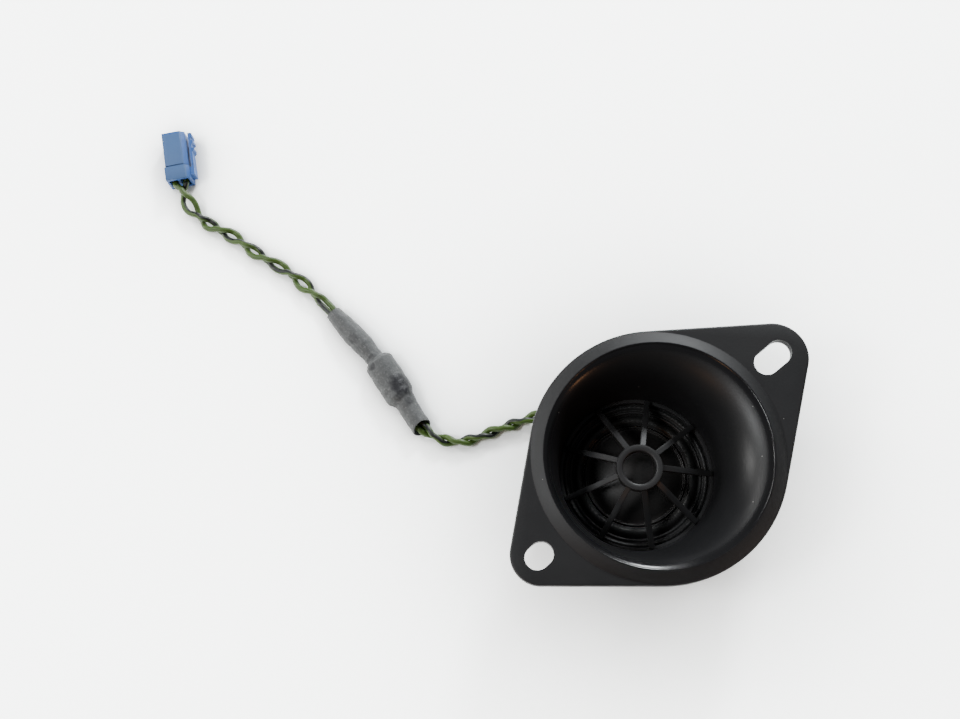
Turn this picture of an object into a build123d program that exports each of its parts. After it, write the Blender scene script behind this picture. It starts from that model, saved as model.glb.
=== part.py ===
"""Car tweeter: dome driver in an oval-flanged waveguide, with its lead, inline capacitor and plug.

Lengths are millimetres. The flat rear cover stands on z = 0, +Z is the way the tweeter fires, and
+Y runs along the flange towards its long fixing slot. The driver sits off the flange's centre.
"""
import os
from math import cos, radians, sin, tan

from build123d import *

os.makedirs("parts", exist_ok=True)

# flange and its fixings
flange_top = 25.0
flange_thickness = 2.0
flange_round = 0.35
body_radius, body_y = 24.9, -0.8
slot_end_radius, slot_end_y = 6.9, 29.4
hole_end_radius, hole_end_y = 5.9, -30.4
slot_length, slot_width, slot_y = 8.3, 4.9, 29.2
hole_length, hole_width, hole_y = 5.8, 4.8, -30.8

# waveguide bowl: a round mouth that flares from an off-centre throat
mouth_radius, lip_top = 22.4, 26.3
lip_land, lip_bevel = 0.45, 1.2
throat_radius, throat_z = 15.5, 12.0
driver_x, driver_y = -0.8, -4.2
bowl_wall = 1.4
bowl_start_angle, bowl_end_angle = 14.0, 78.0
bowl_sections = 10
skirt_wall = 1.5
skirt_foot_z = 2.0

# guard over the dome
spoke_count, spoke_width, spoke_depth = 9, 0.85, 1.5
hub_radius, hub_bore, hub_top, hub_height = 4.6, 3.5, 19.9, 1.7
foot_ring_width, foot_ring_height = 0.8, 1.1

# moving dome and coil
dome_radius, dome_rise, dome_rim_z = 9.6, 3.3, 9.6
skin = 0.3
dome_rim_radius = 9.9
surround_inner, surround_roll_outer, surround_outer = 10.05, 12.6, 15.3
surround_roll_rise = 1.1
former_radius, former_wall, former_foot = 9.5, 0.15, 5.2
coil_depth, coil_foot, coil_height = 0.45, 5.4, 2.0

# motor
cup_radius, cup_bore, cup_floor, cup_top = 12.9, 10.9, 1.4, 7.6
magnet_radius, magnet_height = 8.6, 2.5
pole_radius, pole_height = 9.1, 1.6
felt_radius, felt_height = 7.0, 0.8
cover_thickness = 2.0
spigot_wall, spigot_height = 0.8, 1.4

# terminals on the side of the skirt, and the clip that holds the lead
side_angle = 158.0
pad_face, board_thickness = 18.2, 1.0
board_low, board_high = 3.0, 9.6
board_back, board_front = -8.2, -0.6
tag_places = (-6.4, -3.0)
tag_width, tag_thickness, tag_height = 1.9, 0.4, 5.2
rivet_radius, rivet_head_radius = 0.55, 0.95
clip_back, clip_front = 0.4, 2.6
lead_stand_off, lead_height = 20.6, 4.6

# lead
wire_radius = 0.65
pair_radius = 1.3
near_route = [
    (-20.87, 1.11, 4.60),
    (-22.07, -1.86, 4.60),
    (-23.15, -5.40, 3.25),
    (-24.45, -9.70, 1.75),
    (-26.30, -14.60, 1.35),
    (-28.30, -19.90, 1.35),
    (-29.80, -25.00, 1.35),
    (-33.10, -28.90, 1.40),
    (-37.70, -30.90, 1.85),
    (-41.90, -30.80, 2.15),
]
far_route = [
    (-68.60, -29.50, 1.85),
    (-72.90, -29.50, 1.60),
    (-78.60, -30.20, 1.35),
    (-86.10, -31.30, 1.35),
    (-93.80, -34.30, 1.35),
    (-100.80, -35.70, 1.35),
    (-106.50, -38.30, 1.35),
    (-111.40, -39.85, 1.50),
    (-115.51, -39.30, 2.50),
    (-119.00, -37.35, 2.50),
]

# inline capacitor under its heat-shrink tube: x, y, width and height of each station
shrink_wall = 0.25
shrink_stations = [
    (-38.0, -30.85, 4.6, 4.4),
    (-43.2, -30.30, 4.8, 4.4),
    (-47.2, -29.60, 6.0, 4.9),
    (-52.0, -29.20, 6.2, 4.9),
    (-56.0, -29.00, 6.0, 4.8),
    (-60.0, -29.00, 4.5, 4.2),
    (-65.4, -29.30, 4.7, 4.0),
    (-71.8, -29.55, 3.4, 3.3),
]
can_radius, can_length, can_sleeve = 1.8, 6.6, 0.1
can_x, can_y, can_z = -55.2, -29.75, 2.35
seal_length = 0.9
cap_lead_radius = 0.25
splice_radius, splice_length = 0.8, 3.0

# plug
plug_angle = 150.8
plug_length, plug_width, plug_height = 12.0, 5.2, 4.7
collar_length, collar_proud = 3.5, 0.15
cavity_pitch, cavity_width, cavity_height, cavity_floor = 2.5, 1.9, 3.3, 0.7
front_wall = 0.9
latch_gap, latch_thickness, latch_height = 0.55, 0.6, 2.6
latch_root, latch_tip = 3.0, 11.6
lock_length, lock_depth = 2.4, 0.55


def save(node, *solids):
    """Write one node: a single solid, or a group of like solids."""
    shape = solids[0] if len(solids) == 1 else Compound(children=list(solids))
    export_step(shape, f"parts/{node}.step")


def disc(radius, low, high, x=driver_x, y=driver_y):
    """A round plug between two heights, on the driver's axis unless a place is given."""
    return Pos(x, y, (low + high) / 2) * Cylinder(radius, high - low)


def ring(outer, inner, low, high):
    """A plain ring on the driver's axis."""
    return disc(outer, low, high) - disc(inner, low - 1, high + 1)


def block(x0, x1, y0, y1, z0, z1):
    """A box between its two corners."""
    return Pos((x0 + x1) / 2, (y0 + y1) / 2, (z0 + z1) / 2) * Box(x1 - x0, y1 - y0, z1 - z0)


def turned(profile):
    """A profile drawn as radius and height, turned round the driver's axis."""
    return Pos(driver_x, driver_y, 0) * revolve(profile, Axis.Z)


# ---------------------------------------------------------------- housing

def bowl_circle(step, grow, drop):
    """One cross-section of the bowl, from the mouth (step 0) to the throat (step 1)."""
    a0, a1 = radians(bowl_start_angle), radians(bowl_end_angle)
    a = a0 + (a1 - a0) * step
    inward = (sin(a) - sin(a0)) / (sin(a1) - sin(a0))
    down = (cos(a0) - cos(a)) / (cos(a0) - cos(a1))
    x = driver_x * inward
    y = body_y + (driver_y - body_y) * inward
    radius = mouth_radius + (throat_radius - mouth_radius) * inward
    z = lip_top + (throat_z - lip_top) * down
    return Pos(x, y, z - drop * down) * Circle(radius + grow)


def bowl_solid(grow, drop):
    """The bowl's inside, or its outside when it is grown by the wall."""
    steps = [i / (bowl_sections - 1) for i in range(bowl_sections)]
    return loft([bowl_circle(s, grow, drop) for s in reversed(steps)], ruled=True)


def make_housing():
    """Flange, lip, bowl and skirt, moulded in one."""
    rounds = (
        Pos(0, body_y) * Circle(body_radius),
        Pos(0, slot_end_y) * Circle(slot_end_radius),
        Pos(0, hole_end_y) * Circle(hole_end_radius),
    )
    outline = make_hull([e for r in rounds for e in r.edges()])
    flange = extrude(Pos(0, 0, flange_top - flange_thickness) * outline, flange_thickness)
    flange = fillet(flange.edges().group_by(Axis.Z)[-1], flange_round)
    bevel_foot = Pos(0, body_y, flange_top - 0.5) * Circle(mouth_radius + lip_land + lip_bevel + 0.4)
    bevel_top = Pos(0, body_y, lip_top) * Circle(mouth_radius + lip_land)
    lip = loft([bevel_foot, bevel_top])
    skirt = disc(throat_radius + skirt_wall, skirt_foot_z, throat_z - bowl_wall + 0.3)
    above_flange = Pos(0, body_y, flange_top - 0.3 + 5) * Box(80, 80, 10)
    shell = bowl_solid(bowl_wall, bowl_wall) - above_flange
    pad = side(block(15.9, pad_face, board_back - 0.6, clip_front + 0.4, board_low, board_high))
    hollow = bowl_solid(0, 0) + disc(throat_radius, skirt_foot_z - 1, throat_z + 0.01)
    hollow += disc(mouth_radius, lip_top, lip_top + 1, 0, body_y)
    body = flange + lip + shell + skirt + pad - hollow
    slot = Pos(0, slot_y, flange_top) * SlotOverall(slot_length, slot_width, rotation=90)
    hole = Pos(0, hole_y, flange_top) * SlotOverall(hole_length, hole_width, rotation=90)
    return body - extrude(slot, 5, both=True) - extrude(hole, 5, both=True)


def side(shape):
    """Carry a shape drawn outwards along X onto the terminal side of the skirt."""
    return Pos(driver_x, driver_y, 0) * Rot(0, 0, side_angle) * shape


def make_guard():
    """Nine sloping spokes between a raised hub ring and a foot ring pressed into the throat."""
    foot_low = throat_z - foot_ring_height
    guard = ring(throat_radius, throat_radius - foot_ring_width, foot_low, throat_z)
    guard += ring(hub_radius, hub_bore, hub_top - hub_height, hub_top)
    middle = (hub_radius + hub_bore) / 2
    end = throat_radius - foot_ring_width / 2
    top_in, top_out = hub_top - 0.25, throat_z + 0.55
    side_view = Polyline(
        (middle, top_in),
        (end, top_out),
        (end, top_out - spoke_depth),
        (middle, top_in - spoke_depth),
        close=True,
    )
    spoke = extrude(Plane.XZ * make_face(side_view), spoke_width / 2, both=True)
    for i in range(spoke_count):
        turn = 90 + i * 360 / spoke_count
        guard += Pos(driver_x, driver_y, 0) * Rot(0, 0, turn) * spoke
    return guard


# ---------------------------------------------------------------- moving system

def arc_cap(radius, rise, base_z, drop):
    """Half of a spherical cap's outline, from its rim to the axis."""
    return ThreePointArc(
        (radius, base_z - drop),
        (radius * 0.52, base_z - drop + cap_height(radius, rise, radius * 0.52)),
        (0, base_z - drop + rise),
    )


def cap_height(radius, rise, r):
    """Height of a spherical cap above its base circle at radius r."""
    ball = (radius**2 + rise**2) / (2 * rise)
    return (ball**2 - r**2) ** 0.5 - (ball - rise)


def make_dome():
    """A pressed cap with a flat rim that sits on the coil former."""
    outer = arc_cap(dome_radius, dome_rise, dome_rim_z, 0)
    inner = arc_cap(dome_radius - skin, dome_rise, dome_rim_z, skin)
    rim = Line((dome_radius, dome_rim_z), (dome_radius - skin, dome_rim_z - skin))
    crown = Line((0, dome_rim_z + dome_rise), (0, dome_rim_z + dome_rise - skin))
    cap = turned(Plane.XZ * make_face([outer, inner, rim, crown]))
    return cap + ring(dome_rim_radius, former_radius - skin, dome_rim_z - skin, dome_rim_z)


def make_surround():
    """A single roll between the dome's rim and the flat that the clamp ring holds."""
    middle = (surround_inner + surround_roll_outer) / 2
    low = dome_rim_z - skin
    roll = make_face([
        ThreePointArc(
            (surround_inner, low), (middle, low + surround_roll_rise), (surround_roll_outer, low)
        ),
        Line((surround_roll_outer, low), (surround_roll_outer - skin, low)),
        ThreePointArc(
            (surround_roll_outer - skin, low),
            (middle, low + surround_roll_rise - skin),
            (surround_inner + skin, low),
        ),
        Line((surround_inner + skin, low), (surround_inner, low)),
    ])
    flat = ring(surround_outer, surround_roll_outer - skin, low, dome_rim_z)
    return turned(Plane.XZ * roll) + flat


# ---------------------------------------------------------------- lead

def tube_along(route, radius, node):
    """A round tube on straight runs joined by arcs of 0.45 of the shorter run."""
    points = [Vector(*p) for p in route]
    runs = [b - a for a, b in zip(points, points[1:])]
    radii = []
    for before, after in zip(runs, runs[1:]):
        half_turn = before.get_angle(after) / 2
        radii.append(0.45 * min(before.length, after.length) / tan(radians(half_turn)))
    print(node, "radii", [round(r, 1) for r in radii])
    path = FilletPolyline(*route, radius=radii)
    tube = sweep(Plane(origin=path @ 0, z_dir=path % 0) * Circle(radius), path=path)
    print(node, "length", round(path.length, 2), "volume", round(tube.volume, 2))
    return tube


def shrink_skin(inset):
    """The heat-shrink tube's outside, or its bore when it is inset by the wall."""
    sections = []
    places = [Vector(x, y, height / 2) for x, y, width, height in shrink_stations]
    for i, (x, y, width, height) in enumerate(shrink_stations):
        before, after = places[max(i - 1, 0)], places[min(i + 1, len(places) - 1)]
        along = Vector(after.X - before.X, after.Y - before.Y, 0).normalized()
        start = places[i]
        if inset:
            start = start + along * (0.2 if i == len(places) - 1 else -0.2 if i == 0 else 0)
        across = Vector(0, 0, 1).cross(along)
        plane = Plane(origin=start, x_dir=across, z_dir=along)
        sections.append(plane * Ellipse(width / 2 - inset, height / 2 - inset))
    return loft(sections, ruled=True)


def round_along_x(radius, x0, x1, y, z):
    """A short round bar along X."""
    return Pos((x0 + x1) / 2, y, z) * Rot(0, 90, 0) * Cylinder(radius, abs(x1 - x0))


# ---------------------------------------------------------------- plug

def at_plug(shape):
    """Carry a shape drawn from its rear face along X to the end of the lead."""
    x, y, _ = far_route[-1]
    return Pos(x, y, 0) * Rot(0, 0, plug_angle) * shape


def make_plug_housing():
    """Two-cavity body with a slightly proud rear collar and a window wall at the front."""
    half = plug_width / 2
    body = block(0, plug_length, -half, half, collar_proud, plug_height + collar_proud)
    body = chamfer(body.faces().sort_by(Axis.X)[-1].edges(), 0.25)
    collar = block(
        0, collar_length, -half - collar_proud, half + collar_proud, 0, plug_height + 2 * collar_proud
    )
    body += chamfer(collar.edges().filter_by(Axis.X), 0.3)
    root = block(0.9, latch_root - 0.1, -half - latch_gap - latch_thickness, -half, 0.9, 3.9)
    body += root
    cavity_low = collar_proud + cavity_floor
    for side_of in (-1, 1):
        y = side_of * cavity_pitch / 2
        body -= block(
            -1, plug_length - front_wall,
            y - cavity_width / 2, y + cavity_width / 2,
            cavity_low, cavity_low + cavity_height,
        )
        body -= block(plug_length - 2, plug_length + 1, y - 0.75, y + 0.75, 2.75, 3.95)
        body -= block(plug_length - 2, plug_length + 1, y - 0.5, y + 0.5, 1.1, 2.1)
    lock_low = plug_length - 7.2
    body -= block(lock_low, lock_low + lock_length + 1.0, half - lock_depth, half + 1, 1.3, 3.7)
    return body


def make_plug_lock():
    """Small slide in the plug's side that holds both contacts in."""
    half = plug_width / 2
    start = plug_length - 7.2 + 0.1
    slide = block(start, start + lock_length - 0.3, half - lock_depth + 0.1, half - 0.05, 1.4, 3.6)
    grip = block(start + 0.6, start + 1.2, half - 0.05, half + 0.2, 1.6, 3.4)
    return slide + grip


def make_plug_latch():
    """Thumb lever along the plug's other side, with its catch teeth outwards."""
    half = plug_width / 2
    inner, outer = -half - latch_gap, -half - latch_gap - latch_thickness
    low, high = 1.1, 1.1 + latch_height
    lever = block(latch_root, latch_tip, outer, inner, low, high)
    lever += block(latch_tip - 1.0, latch_tip, outer - 0.35, outer, low, high)
    for tooth in (6.6, 8.6):
        profile = make_face(Polyline(
            (tooth, outer), (tooth + 0.9, outer - 0.5), (tooth + 1.1, outer), close=True
        ))
        lever += extrude(Pos(0, 0, low) * profile, latch_height)
    return lever


# ---------------------------------------------------------------- build it

floor_z = cover_thickness
cup_floor_top = floor_z + cup_floor
magnet_top = cup_floor_top + magnet_height
pole_top = magnet_top + pole_height

save("horn_housing", make_housing())
save("dome_guard", make_guard())

clamp_low = dome_rim_z
clamp_high = throat_z - foot_ring_height
clamp = ring(throat_radius - 0.05, surround_roll_outer + 0.25, clamp_low, clamp_high)
save("surround_clamp_ring", clamp)
save("dome", make_dome())
save("surround", make_surround())
former = ring(former_radius + former_wall, former_radius, former_foot, dome_rim_z - skin)
save("coil_former", former)
coil_inner = former_radius + former_wall
coil = ring(coil_inner + coil_depth, coil_inner, coil_foot, coil_foot + coil_height)
save("voice_coil", coil)

cup = disc(cup_radius, floor_z, cup_top) - disc(cup_bore, cup_floor_top, cup_top + 1)
save("yoke_cup", fillet(cup.edges().group_by(Axis.Z)[0], 0.6))
save("magnet", chamfer(disc(magnet_radius, cup_floor_top, magnet_top).edges(), 0.15))
save("pole_plate", disc(pole_radius, magnet_top, pole_top))
save("damping_felt", disc(felt_radius, pole_top, pole_top + felt_height))

chassis_low = floor_z + spigot_height + 0.1
surround_seat = dome_rim_z - skin
chassis = ring(throat_radius - 0.1, cup_radius, chassis_low, surround_seat)
lead_slot = side(block(cup_radius - 1, throat_radius + 1, -6.0, -3.4, 7.7, surround_seat + 1))
save("driver_chassis", chassis - lead_slot)

cover = disc(throat_radius + skirt_wall, 0, floor_z)
cover = fillet(cover.edges().group_by(Axis.Z)[0], 0.5)
cover += ring(throat_radius - 0.1, throat_radius - 0.1 - spigot_wall, floor_z, floor_z + spigot_height)
save("rear_cover", cover)

board = block(pad_face, pad_face + board_thickness, board_back, board_front, board_low, board_high)
board_face = pad_face + board_thickness
tag_low = board_low + 0.7
rivets, tags, joints_of_solder = [], [], []
for y in tag_places:
    rivet_z = tag_low + tag_height - 1.0
    shank = Pos(board_face - 0.3, y, rivet_z) * Rot(0, 90, 0) * Cylinder(rivet_radius, 1.4)
    board -= shank
    tag = block(
        board_face, board_face + tag_thickness,
        y - tag_width / 2, y + tag_width / 2,
        tag_low, tag_low + tag_height,
    )
    tags.append(side(tag - shank))
    head = Pos(board_face + tag_thickness + 0.2, y, rivet_z)
    head = head * Rot(0, 90, 0) * Cylinder(rivet_head_radius, 0.4)
    rivets.append(side(shank + head))
    blob = Pos(board_face + tag_thickness, y, lead_height) * Sphere(1.0)
    blob -= block(0, board_face + tag_thickness, y - 2, y + 2, 0, 10)
    joints_of_solder.append(blob)
save("terminal_board", side(board))
save("terminal_plus", tags[0])
save("terminal_minus", tags[1])
save("terminal_rivets", *rivets)

# the pair parts behind the clip, and one wire goes to each tag
tails = []
tail_end_x = board_face + tag_thickness + 0.55
for y, spread in zip(tag_places, (wire_radius, -wire_radius)):
    start = (tail_end_x, y, lead_height)
    bend_in = (tail_end_x + 0.3 + 0.5 * (spread > 0), y + 1.2, lead_height)
    line_up = (lead_stand_off, clip_back - 1.0, lead_height + spread)
    finish = (lead_stand_off, clip_back, lead_height + spread)
    path = Spline(start, bend_in, line_up, finish, tangents=((0.2, 1, 0), (0, 1, 0)))
    tails.append(sweep(Plane(origin=start, z_dir=path % 0) * Circle(wire_radius * 0.97), path=path))
tail_group = tails[0] + tails[1]
save("lead_tails", *[side(t) for t in tails])
save("solder_joints", *[side(b - tail_group) for b in joints_of_solder])

clip = block(pad_face, lead_stand_off + pair_radius + 0.9, clip_back, clip_front, 2.6, 6.6)
clip = fillet(clip.edges().filter_by(Axis.Y).group_by(Axis.X)[-1], 0.9)
bore = Pos(lead_stand_off, 0, lead_height) * Rot(90, 0, 0) * Cylinder(pair_radius, 20)
mouth = block(lead_stand_off - 0.9, lead_stand_off + 0.9, -5, 5, lead_height, 12)
save("lead_clip", side(clip - bore - mouth))
gripped = Pos(lead_stand_off, (clip_back + clip_front) / 2, lead_height)
gripped = gripped * Rot(90, 0, 0) * Cylinder(pair_radius, clip_front - clip_back)
save("lead_in_clip", side(gripped))

# fine braids from the coil to the rivets, through the notch in the chassis
braids = []
for y in (-5.2, -4.2):
    path = Spline(
        (dome_rim_radius - 0.35, y, 8.6), (11.6, y, 8.1), (14.4, y, 8.5), tangents=((0.6, 0, -1), (1, 0, 0.4))
    )
    braids.append(side(sweep(Plane(origin=path @ 0, z_dir=path % 0) * Circle(0.12), path=path)))
save("coil_braids", *braids)

save("lead_near", tube_along(near_route, pair_radius, "lead_near"))
save("lead_far", tube_along(far_route, pair_radius, "lead_far"))

save("heat_shrink", shrink_skin(0) - shrink_skin(shrink_wall))
can_end = can_x + can_length
save("capacitor_can", round_along_x(can_radius, can_x, can_end - seal_length, can_y, can_z))
jacket = round_along_x(can_radius + can_sleeve, can_x, can_end, can_y, can_z)
jacket -= round_along_x(can_radius, can_x - 1, can_end + 1, can_y, can_z)
save("capacitor_jacket", jacket)
save("capacitor_seal", round_along_x(can_radius, can_end - seal_length, can_end, can_y, can_z))
near_splice_x, far_splice_x = -43.8, -62.6
lead_one = round_along_x(cap_lead_radius, can_end, near_splice_x - splice_length / 2, can_y, can_z)
lead_two = round_along_x(cap_lead_radius, can_x, far_splice_x + splice_length / 2, can_y, can_z)
save("capacitor_leads", lead_one, lead_two)
splices = [
    round_along_x(splice_radius, x - splice_length / 2, x + splice_length / 2, can_y, can_z)
    for x in (near_splice_x, far_splice_x)
]
save("splice_crimps", *splices)

plug_housing = make_plug_housing()
save("plug_housing", at_plug(plug_housing))
save("plug_lock", at_plug(make_plug_lock()))
save("plug_latch", at_plug(make_plug_latch()))
cavity_mid = collar_proud + cavity_floor + cavity_height / 2
for name, side_of in (("contact_plus", 1), ("contact_minus", -1)):
    y = side_of * cavity_pitch / 2
    box = block(4.4, 10.6, y - 0.8, y + 0.8, cavity_mid - 0.8, cavity_mid + 0.8)
    box -= block(6.0, 12, y - 0.5, y + 0.5, cavity_mid - 0.5, cavity_mid + 0.5)
    barrel = round_along_x(0.8, 2.2, 4.4, y, cavity_mid)
    save(name, at_plug(box + barrel))
stubs = [
    round_along_x(wire_radius, 0.0, 2.2, s * cavity_pitch / 2, cavity_mid) for s in (-1, 1)
]
save("wire_ends", *[at_plug(s) for s in stubs])
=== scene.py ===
"""Car tweeter: the looks of each piece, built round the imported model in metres.

The rear cover stands on z = 0, +Z is the way the tweeter fires, +Y runs along the flange towards
its long slot, and the lead leaves towards -X and ends in a blue two-way plug.
"""
from math import atan2, cos, hypot, pi, radians, sin

import bmesh
import bpy
from mathutils import Matrix, Vector, noise


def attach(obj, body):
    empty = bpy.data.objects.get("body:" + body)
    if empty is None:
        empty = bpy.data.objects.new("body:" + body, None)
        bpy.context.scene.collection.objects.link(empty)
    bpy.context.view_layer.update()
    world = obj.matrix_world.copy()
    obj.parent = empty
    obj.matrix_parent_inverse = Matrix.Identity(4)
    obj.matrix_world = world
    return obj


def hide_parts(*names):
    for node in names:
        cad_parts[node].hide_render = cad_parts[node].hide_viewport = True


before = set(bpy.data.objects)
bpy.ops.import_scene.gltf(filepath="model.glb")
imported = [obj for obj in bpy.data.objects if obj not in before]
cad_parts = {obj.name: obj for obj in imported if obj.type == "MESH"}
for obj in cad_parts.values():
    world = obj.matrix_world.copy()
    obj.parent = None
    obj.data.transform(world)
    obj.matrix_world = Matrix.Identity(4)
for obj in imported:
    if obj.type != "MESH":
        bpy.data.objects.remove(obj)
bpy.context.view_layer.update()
bpy.ops.object.select_all(action="DESELECT")


# ---------------------------------------------------------------- camera, lights and table
# A pale, faintly cool table in an even pale room. Four small lamps stand on the lead's side and
# two weak warm ones on the other sides. The table also glows by itself, and ambient occlusion
# round a slanted normal darkens that glow close to the tweeter: a painted soft shadow.

camera_data = bpy.data.cameras.new("camera")
camera_data.sensor_width = 36
camera_data.lens = 43.1
camera_data.clip_start = 0.005
camera_data.clip_end = 20
camera = bpy.data.objects.new("camera", camera_data)
camera_place = Vector((0.01525, -0.04653, 0.24369))
camera_right = Vector((0.6372, 0.7697, -0.04)).normalized()
camera_back = Vector((0.2289, -0.1394, 0.9634)).normalized()
camera_up = camera_back.cross(camera_right).normalized()
camera_right = camera_up.cross(camera_back)
camera_axes = Matrix((camera_right, camera_up, camera_back)).transposed().to_4x4()
camera.matrix_world = Matrix.Translation(camera_place) @ camera_axes
bpy.context.scene.collection.objects.link(camera)
bpy.context.scene.camera = camera

room = bpy.data.worlds.new("room")
room.use_nodes = True
room.node_tree.nodes["Background"].inputs["Color"].default_value = (0.93, 0.965, 1.0, 1)
room.node_tree.nodes["Background"].inputs["Strength"].default_value = 0.17
bpy.context.scene.world = room


def soft_box(name, place, aim, width, height, watts, tint):
    """A rectangular area lamp that faces a point."""
    lamp = bpy.data.lights.new(name, "AREA")
    lamp.shape = "RECTANGLE"
    lamp.size, lamp.size_y = width, height
    lamp.energy = watts
    lamp.color = tint
    holder = bpy.data.objects.new(name, lamp)
    holder.location = place
    holder.rotation_euler = (Vector(aim) - Vector(place)).to_track_quat("-Z", "Y").to_euler()
    bpy.context.scene.collection.objects.link(holder)


soft_box("left_lamp", (-0.58, -0.14, 0.50), (-0.02, 0, 0), 0.13, 0.13, 2.2, (1.0, 0.99, 0.97))
soft_box("near_lamp", (-0.26, -0.44, 0.62), (-0.02, 0, 0), 0.18, 0.18, 5.0, (0.97, 0.99, 1.0))
soft_box("back_lamp", (-0.43, 0.63, 0.44), (-0.02, 0, 0), 0.14, 0.14, 14.0, (0.95, 0.98, 1.0))
soft_box("low_lamp", (-0.64, -0.50, 0.25), (-0.02, 0, 0), 0.08, 0.08, 3.5, (1.0, 1.0, 0.98))
soft_box("warm_lamp", (0.10, -0.48, 0.36), (0, 0, 0.02), 0.03, 0.08, 0.35, (1.0, 0.50, 0.24))
soft_box("warm_door", (0.52, 0.16, 0.27), (0, 0, 0.02), 0.03, 0.08, 0.40, (1.0, 0.45, 0.20))


class Signal:
    """A value in a finish's shader. Arithmetic on it adds Math nodes."""

    def __init__(self, finish, socket):
        self.finish, self.socket = finish, socket

    def math(self, operation, *others):
        return self.finish.node("Math", {"operation": operation}, dict(enumerate((self, *others))))

    def __add__(self, other):
        return self.math("ADD", other)

    __radd__ = __add__

    def __sub__(self, other):
        return self.math("SUBTRACT", other)

    def __rsub__(self, other):
        return self.finish.node("Math", {"operation": "SUBTRACT"}, {0: other, 1: self})

    def __mul__(self, other):
        return self.math("MULTIPLY", other)

    __rmul__ = __mul__

    def __truediv__(self, other):
        return self.math("DIVIDE", other)

    def __pow__(self, other):
        return self.math("POWER", other)

    def above(self, low, high):
        """0 below low, 1 over high, smooth between."""
        sockets = {"Value": self, "From Min": low, "From Max": high}
        return self.finish.node("MapRange", {"interpolation_type": "SMOOTHSTEP"}, sockets)


class Finish:
    """One material: its shader and the nodes that drive it."""

    def __init__(self, name, **fixed):
        self.material = bpy.data.materials.new(name)
        self.material.use_nodes = True
        self.tree = self.material.node_tree
        self.shader = self.tree.nodes["Principled BSDF"]
        for key, value in fixed.items():
            self.shader.inputs[key.replace("_", " ")].default_value = value

    def node(self, kind, settings=(), sockets=(), out=0):
        """Any shader node: its settings, then its sockets' values or signals."""
        made = self.tree.nodes.new("ShaderNode" + kind)
        for key, value in dict(settings).items():
            setattr(made, key, value)
        for key, value in dict(sockets).items():
            if isinstance(value, Signal):
                self.tree.links.new(value.socket, made.inputs[key])
            else:
                made.inputs[key].default_value = value
        return Signal(self, made.outputs[out])

    def place(self):
        """The point on the piece, in metres."""
        return self.node("TexCoord", out="Object")

    def grain(self, size, detail=2.0, where=None, rough=0.5):
        """Cloudy noise whose blobs are about this many metres across."""
        sockets = {"Vector": where or self.place(), "Scale": 1 / size}
        sockets |= {"Detail": detail, "Roughness": rough}
        return self.node("TexNoise", {}, sockets)

    def parts(self, vector):
        """A vector's three numbers."""
        split = self.node("SeparateXYZ", {}, {0: vector})
        outputs = split.socket.node.outputs
        return [Signal(self, outputs[i]) for i in range(3)]

    def blend(self, share, first, second):
        """Colour that goes from first to second as share goes from 0 to 1."""
        shades = [c if isinstance(c, Signal) else (*c, 1) for c in (first, second)]
        sockets = {0: share, 6: shades[0], 7: shades[1]}
        return self.node("Mix", {"data_type": "RGBA"}, sockets, out=2)

    def feed(self, socket, signal):
        self.tree.links.new(signal.socket, self.shader.inputs[socket])

    def bump(self, height, depth, strength=1.0):
        """Relief of this many metres between height 0 and 1."""
        sockets = {"Height": height, "Distance": depth, "Strength": strength}
        self.feed("Normal", self.node("Bump", {}, sockets, out="Normal"))


TABLE_SIDE, TABLE_TOP = 4, -0.00005
PAINTED_SHADOW_POWER, TABLE_GLOW_STRENGTH = 4.5, 4.6
bpy.ops.mesh.primitive_plane_add(size=TABLE_SIDE, location=(0, 0, TABLE_TOP))
table = bpy.context.object
table.name = "table"
table_paint = Finish("table_paint", Roughness=0.55)
table_cloud = table_paint.grain(0.09, 3.0)
table_shade = table_paint.blend(table_cloud, (0.80, 0.82, 0.82), (0.86, 0.87, 0.86))
table_paint.feed("Base Color", table_shade)
# Painted shadow: the table's glow follows ambient occlusion round a slanted normal.
painted_shadow_ao_settings = {"Distance": 0.30, "Normal": (-0.50, 0.28, 0.82)}
painted_shadow_ao = table_paint.node("AmbientOcclusion", {"samples": 8}, painted_shadow_ao_settings, out="AO")
glow_with_painted_shadow = table_paint.blend(painted_shadow_ao ** PAINTED_SHADOW_POWER, (0, 0, 0), (0.97, 1.0, 0.985))
table_paint.feed("Emission Color", glow_with_painted_shadow)
table_paint.shader.inputs["Emission Strength"].default_value = TABLE_GLOW_STRENGTH
table.data.materials.append(table_paint.material)


# ---------------------------------------------------------------- lead
# Two 1.3 mm PVC wires twisted by hand: one plain green, one green with a black stripe. They
# leave the clip one over the other, run slack to the capacitor's tube, and go on to the plug.

MM = 0.001
WIRE = 0.65 * MM
# Each strand's middle stands this many wire radii above or below the pair's line.
STRAND_RISE = 1.01
near_route = [
    (-0.02087, 0.00111, 0.00460),
    (-0.02207, -0.00186, 0.00460),
    (-0.02315, -0.00540, 0.00325),
    (-0.02445, -0.00970, 0.00175),
    (-0.02630, -0.01460, 0.00135),
    (-0.02830, -0.01990, 0.00135),
    (-0.02980, -0.02500, 0.00135),
    (-0.03310, -0.02890, 0.00140),
    (-0.03770, -0.03090, 0.00185),
    (-0.04190, -0.03080, 0.00215),
]
far_route = [
    (-0.06860, -0.02950, 0.00185),
    (-0.07290, -0.02950, 0.00160),
    (-0.07860, -0.03020, 0.00135),
    (-0.08610, -0.03130, 0.00135),
    (-0.09380, -0.03430, 0.00135),
    (-0.10080, -0.03570, 0.00135),
    (-0.10650, -0.03830, 0.00135),
    (-0.11140, -0.03985, 0.00150),
    (-0.11551, -0.03930, 0.00250),
    (-0.11900, -0.03735, 0.00250),
]


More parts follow.
